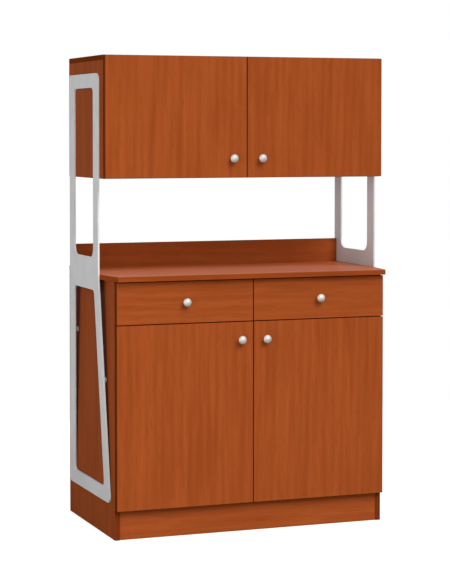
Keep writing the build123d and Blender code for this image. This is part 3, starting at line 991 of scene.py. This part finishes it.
@dataclass
class Drawer:
    """One drawer: its front, knob, box and runners."""

    side: Side
    figure: int
    screws_per_runner: int = 3
    screw_margin_mm: float = 40.0
    screw_mm: Point = (3.2, 0.4)
    runner_wall_mm: float = 1.2

    @property
    def name(self) -> str:
        """The drawer's name in node names."""
        return f"{self.side.word}_drawer"

    def build(self) -> None:
        """Build the flat screws that hold the runners to the box."""
        low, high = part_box(f"{self.name}_runners")
        box_low, box_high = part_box(f"{self.name}_box_sides")
        margin = self.screw_margin_mm * MM
        step = (high.y - low.y - 2 * margin) / (self.screws_per_runner - 1)
        wall = self.runner_wall_mm * MM
        for x, sign, edge in ((box_low.x - wall, -1, "first"), (box_high.x + wall, 1, "second")):
            FittingRows(
                f"{self.name}_runner_screws_{edge}", f"drawer_{self.side.word}", ZINC_PLATE, pan_head,
                *self.screw_mm,
                [Vector((x, low.y + margin, (low.z + high.z) / 2))], (0.0, sign * QUARTER, 0.0),
                self.screws_per_runner, (0.0, step, 0.0),
            ).build()

    def dress(self) -> None:
        """Dress the front, the box, the runners and the knob."""
        dress(f"{self.name}_front", cherry(self.figure, Grain.ACROSS, Grain.UPRIGHT))
        dress(f"{self.name}_box_sides", box_board(self.figure, Grain.DEEP, Grain.UPRIGHT))
        dress(f"{self.name}_box_ends", box_board(self.figure + 1, Grain.ACROSS, Grain.UPRIGHT))
        dress(f"{self.name}_bottom", box_board(self.figure + 2, Grain.ACROSS, Grain.DEEP))
        dress(f"{self.name}_runners", RUNNER_STRIP)
        dress(f"{self.name}_knob", SATIN_NICKEL)
        dress(f"{self.name}_knob_screw", ZINC_PLATE)


@dataclass
class FramesAndFixings:
    """The side frames and the metal and rubber fixings that stay as they were drawn."""

    finishes: Mapping[str, Finish] = field(default_factory=lambda: {
        "left_side_frame": POWDER_COAT,
        "right_side_frame": POWDER_COAT,
        "frame_spacers": POWDER_COAT,
        "frame_bolts": ZINC_PLATE,
        "worktop_screws": ZINC_PLATE,
        "backsplash_screws": ZINC_PLATE,
        "shelf_pins": ZINC_PLATE,
        "cabinet_rails": RUNNER_STRIP,
        "bumpers": CLEAR_RUBBER,
    })

    def dress(self) -> None:
        """Dress each node in its finish."""
        for node, finish in self.finishes.items():
            dress(node, finish)


@dataclass
class Studio:
    """Pale floor, soft lights and the camera at the photograph's angle."""

    focal_px: float = 1888.2
    camera_place: Triple = (-2.4314, -6.4359, 1.4121)
    camera_yaw: float = math.radians(20.689)
    camera_tilt: float = math.radians(2.0)
    sensor_mm: float = 36.0
    shift: Point = (-0.0007, -0.1585)
    floor_half: float = 2.4
    floor_tones: tuple[str, str] = ("#757574", "#7a7a79")
    floor_cloud_mm: float = 900.0
    floor_cloud_range: Point = (0.3, 0.7)
    floor_roughness: float = 0.6
    floor_glow: Point = (0.05, 0.90)
    room_light: Point = (0.46, 1.0)
    white: tuple[float, float, float, float] = (1.0, 1.0, 1.0, 1.0)
    aim_height: float = 0.85

    def build_camera(self) -> None:
        """Add the camera and make it the scene's own."""
        data = bpy.data.cameras.new("photo_camera")
        data.sensor_width = self.sensor_mm
        data.lens = self.focal_px / PHOTO_HEIGHT_PX * data.sensor_width
        data.shift_x, data.shift_y = self.shift
        camera = bpy.data.objects.new("photo_camera", data)
        camera.location = self.camera_place
        camera.rotation_euler = Euler((QUARTER - self.camera_tilt, 0.0, -self.camera_yaw))
        bpy.context.scene.collection.objects.link(camera)
        bpy.context.scene.camera = camera

    def strength(self, tree: bpy.types.NodeTree, levels: Point) -> bpy.types.NodeSocket:
        """Strength of a light surface that is seen as white but lights the cabinet less.

        Args:
            tree: Node tree of the surface.
            levels: Strength for the light that it gives, then strength as it is seen.

        Returns:
            The socket with the strength.
        """
        rays = add_node(tree, "ShaderNodeLightPath")
        return add_node(tree, "ShaderNodeMapRange", {
            "Value": rays.outputs["Is Camera Ray"], "To Min": levels[0], "To Max": levels[1],
        }).outputs[0]

    def build_floor(self) -> None:
        """Add the floor: an opal acrylic sheet, softly lit from below as on a product table."""
        half = self.floor_half
        mesh = bpy.data.meshes.new("studio_floor")
        corners = [(-half, -half, 0.0), (half, -half, 0.0), (half, half, 0.0), (-half, half, 0.0)]
        mesh.from_pydata(corners, [], [tuple(range(len(corners)))])
        material = bpy.data.materials.new("white_acrylic_floor")
        material.use_nodes = True
        tree = material.node_tree
        tree.nodes.clear()
        coordinates = add_node(tree, "ShaderNodeTexCoord")
        clouds = add_node(tree, "ShaderNodeTexNoise", {
            "Vector": coordinates.outputs["Object"], "Scale": per_mm(self.floor_cloud_mm),
        })
        tone = add_node(
            tree, "ShaderNodeValToRGB", {"Fac": clouds.outputs[0]},
            stops=tuple(zip(self.floor_cloud_range, self.floor_tones)),
        )
        shader = add_node(tree, "ShaderNodeBsdfPrincipled", {
            "Base Color": tone.outputs[0],
            "Roughness": self.floor_roughness,
            "Emission Color": self.white,
            "Emission Strength": self.strength(tree, self.floor_glow),
        })
        add_node(tree, "ShaderNodeOutputMaterial", {"Surface": shader.outputs["BSDF"]})
        mesh.materials.append(material)
        floor = bpy.data.objects.new("studio_floor", mesh)
        bpy.context.scene.collection.objects.link(floor)

    def build_light(self, name: str, kind: str, place: Triple, power: float, **settings: float) -> None:
        """Add a soft light that faces the middle of the cabinet.

        Args:
            name: Name of the light.
            kind: SUN for an even light from far off, or AREA for a square panel.
            place: Its place.
            power: Power of a panel in watts, or of a sun in watts to the square metre.
            settings: Length of a panel's side as size, or spread of a sun's light as angle.
        """
        data = bpy.data.lights.new(name, kind)
        data.energy = power
        for setting, value in settings.items():
            setattr(data, setting, value)
        light = bpy.data.objects.new(name, data)
        light.location = place
        aim = Vector((0.0, 0.0, self.aim_height)) - light.location
        light.rotation_euler = aim.to_track_quat("-Z", "Y").to_euler()
        bpy.context.scene.collection.objects.link(light)

    def build_room(self) -> None:
        """Light the room evenly, with a white backdrop behind the cabinet."""
        world = bpy.data.worlds.new("white_room")
        world.use_nodes = True
        tree = world.node_tree
        tree.nodes.clear()
        room = add_node(tree, "ShaderNodeBackground", {
            "Color": self.white, "Strength": self.strength(tree, self.room_light),
        })
        add_node(tree, "ShaderNodeOutputWorld", {"Surface": room.outputs[0]})
        bpy.context.scene.world = world

    def build(self) -> None:
        """Build the whole studio."""
        bpy.context.scene.view_settings.view_transform = "Standard"
        self.build_camera()
        self.build_floor()
        self.build_room()
        self.build_light("key_light", "SUN", (1.2, -3.8, 4.6), 3.05, angle=math.radians(36))
        self.build_light("left_fill", "AREA", (-4.5, -2.0, 1.0), 84.0, size=3.0)
        self.build_light("front_fill", "AREA", (-2.2, -5.2, 1.5), 55.0, size=2.5)


def base_unit() -> Carcass:
    """The base unit's boards.

    Returns:
        The base carcass.
    """
    shelf = (Grain.ACROSS, Grain.DEEP)
    panel = (Grain.UPRIGHT, Grain.DEEP)
    strip = (Grain.ACROSS, Grain.UPRIGHT)
    return Carcass("base", {
        "base_left_side": panel, "base_right_side": panel, "base_bottom": shelf, "base_shelf": shelf,
        "drawer_deck": shelf, "front_top_rail": shelf, "worktop": shelf,
        "plinth_front": strip, "plinth_back": strip, "fixing_rail": strip, "backsplash": strip,
        "drawer_divider": (Grain.DEEP, Grain.UPRIGHT),
    }, 1, "base_shelf", {-6: 6, 1: 6}, decors={"worktop": WORKTOP_CHERRY_PAINTED_LIGHT})


def top_unit() -> Carcass:
    """The top unit's boards.

    Returns:
        The top carcass.
    """
    shelf = (Grain.ACROSS, Grain.DEEP)
    panel = (Grain.UPRIGHT, Grain.DEEP)
    return Carcass("upper", {
        "upper_left_side": panel, "upper_right_side": panel, "upper_bottom": shelf, "upper_shelf": shelf,
        "upper_top": shelf,
    }, 21, "upper_shelf", {-4: 4, 1: 4})


def main() -> None:
    """Build the studio, then each sub-assembly in turn."""
    logging.basicConfig(level=logging.INFO, format="%(message)s")
    Studio().build()
    doors = [
        HingedDoor(unit, side, figure)
        for figure, (unit, side) in enumerate(((u, s) for u in ("base", "upper") for s in Side), start=31)
    ]
    drawers = [Drawer(side, figure) for side, figure in ((Side.LEFT, 41), (Side.RIGHT, 45))]
    for assembly in (base_unit(), top_unit(), *doors, *drawers):
        assembly.build()
        assembly.dress()
    HingeArms(doors).build()
    FramesAndFixings().dress()


if __name__ == "__main__":
    main()
